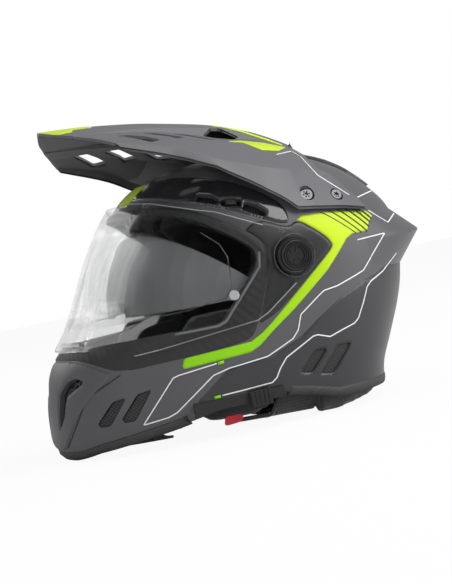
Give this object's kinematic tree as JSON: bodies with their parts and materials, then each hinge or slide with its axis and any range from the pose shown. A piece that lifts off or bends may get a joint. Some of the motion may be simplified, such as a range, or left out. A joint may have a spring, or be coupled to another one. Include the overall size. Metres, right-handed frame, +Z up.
{
  "type": "dual sport helmet",
  "caption": "Full-face dual sport helmet with a peak, a hinged clear visor, a drop-down sun visor, vents, a padded liner and a ratchet chin strap.",
  "frame": {"origin": "on the floor plane under the middle of the helmet's bounding box; the helmet stands on its chin trim and neck roll", "axes": "+X to the wearer's left, -Y the way the face looks, +Z up"},
  "size_m": [0.2768, 0.3693, 0.2915],
  "materials": {
    "shell_paint": "matt grey lacquer over moulded polycarbonate, with dark panels and lime and white lines",
    "peak_paint": "matt light grey moulded plastic with lime edges",
    "gloss_black": "glossy black moulded plastic",
    "dark_plastic": "matt black moulded plastic, fine grain",
    "lime_plastic": "lime yellow moulded plastic",
    "seal_rubber": "soft black rubber with a ribbed bead",
    "clear_visor": "clear scratch-coated polycarbonate",
    "clear_insert": "clear anti-fog insert",
    "smoke_visor": "smoke tinted polycarbonate",
    "screw_steel": "turned steel screw heads",
    "eps_foam": "black expanded polystyrene beads",
    "liner_fabric": "black brushed comfort fabric over foam",
    "strap_webbing": "black woven nylon webbing",
    "red_tab": "red woven pull tab"
  },
  "bodies": {
    "helmet": {"outer_shell": "shell_paint", "edge_trim": "seal_rubber", "eye_port_gasket": "seal_rubber", "visor_base_left": "gloss_black", "visor_base_right": "gloss_black", "brow_panel_left": "gloss_black", "brow_panel_right": "gloss_black", "brow_strip": "lime_plastic", "chin_beak": "shell_paint", "mouth_vent_mesh_left": "dark_plastic", "mouth_vent_mesh_right": "dark_plastic", "chin_vent_mesh_left": "dark_plastic", "chin_vent_mesh_right": "dark_plastic", "rear_vent_mesh_left": "dark_plastic", "rear_vent_mesh_right": "dark_plastic", "peak": "peak_paint", "peak_screws": "screw_steel", "peak_nuts": "screw_steel", "top_exhaust_cover": "shell_paint", "rear_spoiler": "shell_paint", "sun_visor_pivots": "dark_plastic", "slider_rail": "dark_plastic", "eps_liner": "eps_foam", "crown_pad": "liner_fabric", "chin_eps": "eps_foam", "cheek_pad_left": "liner_fabric", "cheek_pad_right": "liner_fabric", "neck_roll": "liner_fabric", "chin_curtain": "liner_fabric", "cheek_release_tab_left": "red_tab", "cheek_release_tab_right": "red_tab", "chin_strap_left": "strap_webbing", "chin_strap_right": "strap_webbing", "strap_anchors": "screw_steel", "buckle_housing": "dark_plastic", "ratchet_tongue": "dark_plastic", "lever_pin": "screw_steel"},
    "visor": {"visor": "clear_visor", "insert_lens": "clear_insert", "insert_pins": "dark_plastic", "pivot_caps": "dark_plastic"},
    "sun_visor": {"sun_visor": "smoke_visor"},
    "sun_visor_slider": {"sun_visor_slider": "dark_plastic"},
    "brow_slider_left": {"brow_slider_left": "dark_plastic"},
    "brow_slider_right": {"brow_slider_right": "dark_plastic"},
    "buckle_lever": {"buckle_lever": "dark_plastic"}
  },
  "joints": [
    {"name": "visor_hinge", "type": "hinge", "parent": "helmet", "child": "visor", "pos_m": [0, 0.019, 0.141], "axis": [-1, 0, 0], "range_deg": [0, 35]},
    {"name": "sun_visor_hinge", "type": "hinge", "parent": "helmet", "child": "sun_visor", "pos_m": [0, 0, 0.114], "axis": [-1, 0, 0], "range_deg": [0, 38]},
    {"name": "sun_visor_slide", "type": "slide", "parent": "helmet", "child": "sun_visor_slider", "axis": [0.1625, 0.9867, 0], "range_m": [-0.0245, 0]},
    {"name": "brow_vent_slide_left", "type": "slide", "parent": "helmet", "child": "brow_slider_left", "axis": [0.383, 0.9068, -0.1763], "range_m": [-0.0025, 0.0025]},
    {"name": "brow_vent_slide_right", "type": "slide", "parent": "helmet", "child": "brow_slider_right", "axis": [-0.383, 0.9068, -0.1763], "range_m": [-0.0025, 0.0025]},
    {"name": "buckle_lever_hinge", "type": "hinge", "parent": "helmet", "child": "buckle_lever", "pos_m": [0.0616, -0.001, 0.0144], "axis": [0, 1, 0], "range_deg": [0, 30], "stiffness_Nm_per_rad": 0.03, "springref_deg": -11.46}
  ],
  "couplings": [
    {"joint": "sun_visor_slide", "follows": "sun_visor_hinge", "m_per_rad": -0.0362}
  ]
}
